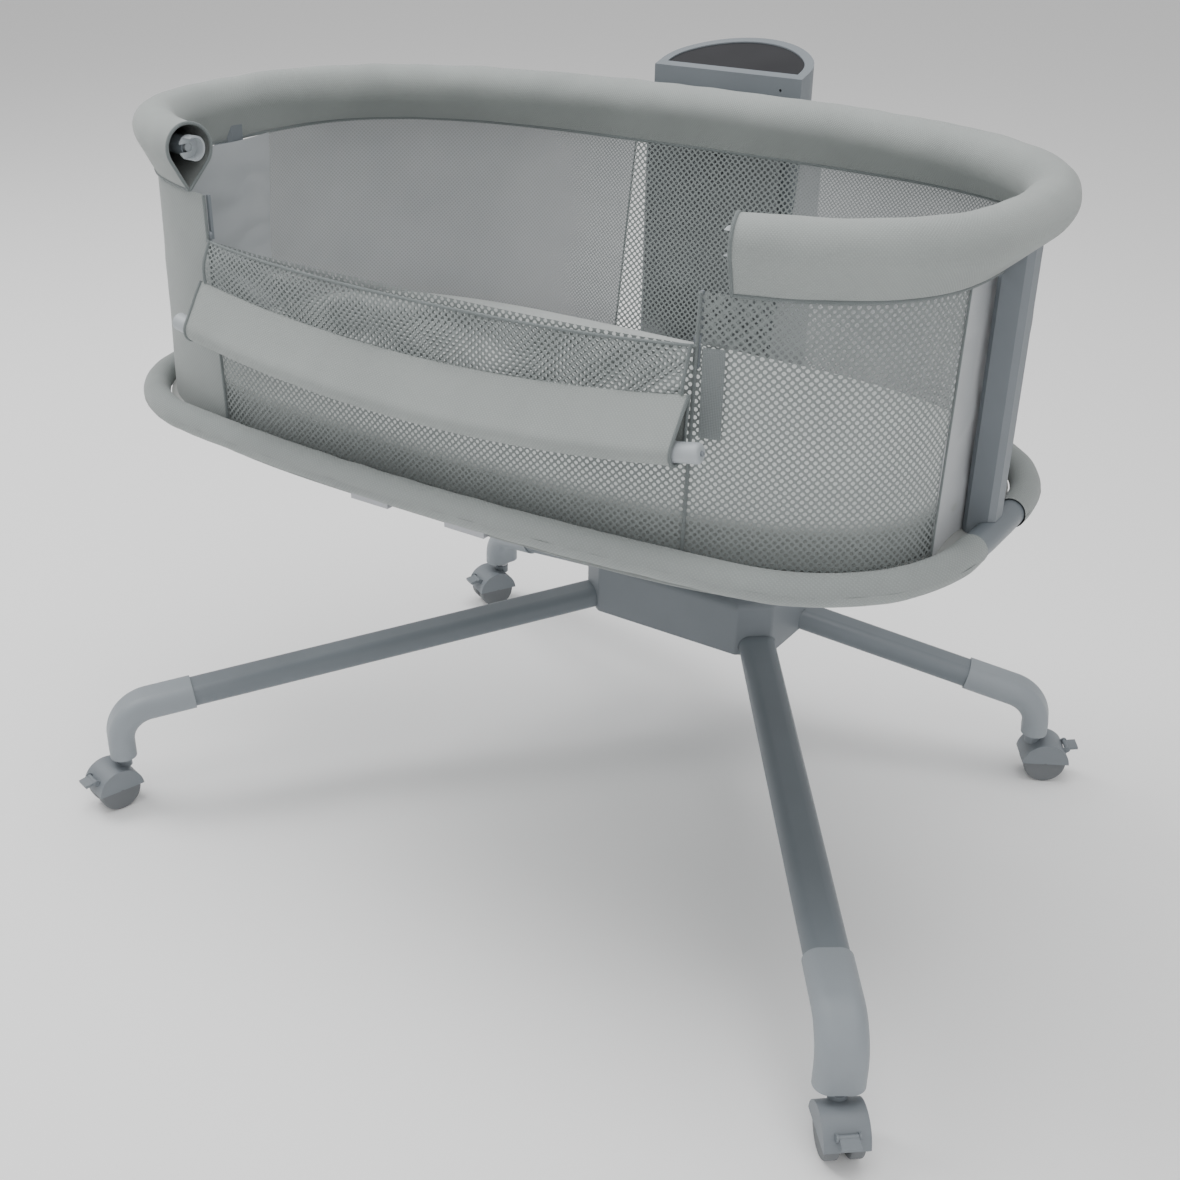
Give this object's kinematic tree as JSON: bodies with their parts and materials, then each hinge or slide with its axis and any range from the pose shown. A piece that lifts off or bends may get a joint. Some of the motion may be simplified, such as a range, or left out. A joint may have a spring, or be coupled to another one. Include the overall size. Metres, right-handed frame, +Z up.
{
  "type": "bassinet on stand",
  "caption": "Bedside bassinet with a fabric tub that swings on a rear tower, a drop-down front gate, long floor legs with braked swivel casters and a tilted touch panel.",
  "frame": {"origin": "on the floor under the middle of the footprint", "axes": "+X along the tub, -Y towards the drop-down gate, +Z up"},
  "size_m": [1.0017, 0.7689, 0.8356],
  "materials": {
    "fabric_grey": "woven",
    "mesh_grey": "open mesh",
    "tube_grey": "satin paint",
    "plastic_grey": "fine texture",
    "plastic_dark": "plain",
    "panel_black": "gloss",
    "steel": "brushed",
    "wheel": "smooth",
    "bronze": "plain",
    "board": "plain",
    "light_plastic": "plain"
  },
  "bodies": {
    "stand": {"hub_cover": "plastic_grey", "hub_base": "plastic_grey", "hub_plate": "steel", "leg_front_left": "tube_grey", "leg_front_right": "tube_grey", "leg_back_left": "tube_grey", "leg_back_right": "tube_grey", "foot_front_left": "plastic_grey", "foot_front_right": "plastic_grey", "foot_back_left": "plastic_grey", "foot_back_right": "plastic_grey", "stand_screws": "steel", "tower_front": "plastic_grey", "tower_back": "plastic_grey", "tower_mast": "steel", "swing_bearings": "bronze", "drive_coil": "bronze", "control_body": "plastic_grey", "control_bezel": "plastic_grey", "touch_panel": "panel_black", "power_jack": "plastic_dark", "caster_stems": "steel"},
    "basket": {"base_ring": "tube_grey", "hem_sleeves": "fabric_grey", "floor_board": "board", "base_panel": "fabric_grey", "mattress": "fabric_grey", "end_post_left": "plastic_grey", "end_post_right": "plastic_grey", "rim_tube": "tube_grey", "rim_cover": "fabric_grey", "rim_sockets": "light_plastic", "wall_back": "fabric_grey", "wall_front_left": "fabric_grey", "wall_front_right": "mesh_grey", "wall_front_lower": "mesh_grey", "swing_bracket": "steel", "swing_shaft": "steel", "drive_magnet": "plastic_dark", "zip_tapes": "plastic_dark"},
    "gate": {"gate_flap": "mesh_grey", "gate_sleeve": "fabric_grey"},
    "gate_rail": {"gate_bar": "tube_grey", "gate_latch_left": "light_plastic", "gate_latch_right": "light_plastic"},
    "latch_nib": {"latch_button": "plastic_dark"},
    "zip_left": {"zip_puller_left": "plastic_dark"},
    "zip_right": {"zip_puller_right": "plastic_dark"},
    "caster_front_left_swivel": {"caster_front_left_hood": "plastic_grey"},
    "caster_front_left_roll": {"caster_front_left_wheels": "wheel"},
    "caster_front_left_lock": {"caster_front_left_brake": "plastic_grey"},
    "caster_front_right_swivel": {"caster_front_right_hood": "plastic_grey"},
    "caster_front_right_roll": {"caster_front_right_wheels": "wheel"},
    "caster_front_right_lock": {"caster_front_right_brake": "plastic_grey"},
    "caster_back_left_swivel": {"caster_back_left_hood": "plastic_grey"},
    "caster_back_left_roll": {"caster_back_left_wheels": "wheel"},
    "caster_back_left_lock": {"caster_back_left_brake": "plastic_grey"},
    "caster_back_right_swivel": {"caster_back_right_hood": "plastic_grey"},
    "caster_back_right_roll": {"caster_back_right_wheels": "wheel"},
    "caster_back_right_lock": {"caster_back_right_brake": "plastic_grey"}
  },
  "joints": [
    {"name": "basket_swing", "type": "hinge", "parent": "stand", "child": "basket", "pos_m": [0, 0.2014, 0.715], "axis": [0, 1, 0], "range_deg": [-7, 7]},
    {"name": "gate_fold", "type": "hinge", "parent": "basket", "child": "gate", "pos_m": [0, -0.29605, 0.6952], "axis": [-1, 0, 0], "range_deg": [0, 163.25], "deforming": ["gate_flap", "gate_sleeve"]},
    {"name": "bar_turn", "type": "hinge", "parent": "gate", "child": "gate_rail", "pos_m": [0, -0.32622, 0.61938], "axis": [1, 0, 0], "range_deg": [0, 93.15]},
    {"name": "latch_press", "type": "slide", "parent": "gate_rail", "child": "latch_nib", "axis": [-1, 0, 0], "range_m": [0, 0.002], "stiffness_N_per_m": 300},
    {"name": "zip_left", "type": "slide", "parent": "basket", "child": "zip_left", "axis": [0, 0, 1], "range_m": [0, 0.03]},
    {"name": "zip_right", "type": "slide", "parent": "basket", "child": "zip_right", "axis": [0, 0, 1], "range_m": [0, 0.03]},
    {"name": "front_left_swivel", "type": "hinge", "parent": "stand", "child": "caster_front_left_swivel", "pos_m": [-0.4625, -0.3296, 0.05], "axis": [0, 0, 1], "continuous": true},
    {"name": "front_left_roll", "type": "hinge", "parent": "caster_front_left_swivel", "child": "caster_front_left_roll", "pos_m": [-0.46664, -0.34506, 0.025], "axis": [0.9659, -0.2588, 0], "continuous": true},
    {"name": "front_left_brake", "type": "hinge", "parent": "caster_front_left_swivel", "child": "caster_front_left_lock", "pos_m": [-0.47326, -0.36974, 0.0429], "axis": [-0.9659, 0.2588, 0], "range_deg": [0, 18]},
    {"name": "front_right_swivel", "type": "hinge", "parent": "stand", "child": "caster_front_right_swivel", "pos_m": [0.4625, -0.3296, 0.05], "axis": [0, 0, 1], "continuous": true},
    {"name": "front_right_roll", "type": "hinge", "parent": "caster_front_right_swivel", "child": "caster_front_right_roll", "pos_m": [0.47279, -0.34186, 0.025], "axis": [0.766, 0.6428, 0], "continuous": true},
    {"name": "front_right_brake", "type": "hinge", "parent": "caster_front_right_swivel", "child": "caster_front_right_lock", "pos_m": [0.48921, -0.36144, 0.0429], "axis": [-0.766, -0.6428, 0], "range_deg": [0, 18]},
    {"name": "back_left_swivel", "type": "hinge", "parent": "stand", "child": "caster_back_left_swivel", "pos_m": [-0.404, 0.3437, 0.05], "axis": [0, 0, 1], "continuous": true},
    {"name": "back_left_roll", "type": "hinge", "parent": "caster_back_left_swivel", "child": "caster_back_left_roll", "pos_m": [-0.41151, 0.32957, 0.025], "axis": [0.8829, -0.4695, 0], "continuous": true},
    {"name": "back_left_brake", "type": "hinge", "parent": "caster_back_left_swivel", "child": "caster_back_left_lock", "pos_m": [-0.42351, 0.30701, 0.0429], "axis": [-0.8829, 0.4695, 0], "range_deg": [0, 18]},
    {"name": "back_right_swivel", "type": "hinge", "parent": "stand", "child": "caster_back_right_swivel", "pos_m": [0.404, 0.3437, 0.05], "axis": [0, 0, 1], "continuous": true},
    {"name": "back_right_roll", "type": "hinge", "parent": "caster_back_right_swivel", "child": "caster_back_right_roll", "pos_m": [0.41786, 0.3517, 0.025], "axis": [-0.5, 0.866, 0], "continuous": true},
    {"name": "back_right_brake", "type": "hinge", "parent": "caster_back_right_swivel", "child": "caster_back_right_lock", "pos_m": [0.43999, 0.36448, 0.0429], "axis": [0.5, -0.866, 0], "range_deg": [-18, 0]}
  ],
  "couplings": [
    {"joint": "bar_turn", "follows": "gate_fold", "ratio": 0.5706}
  ]
}
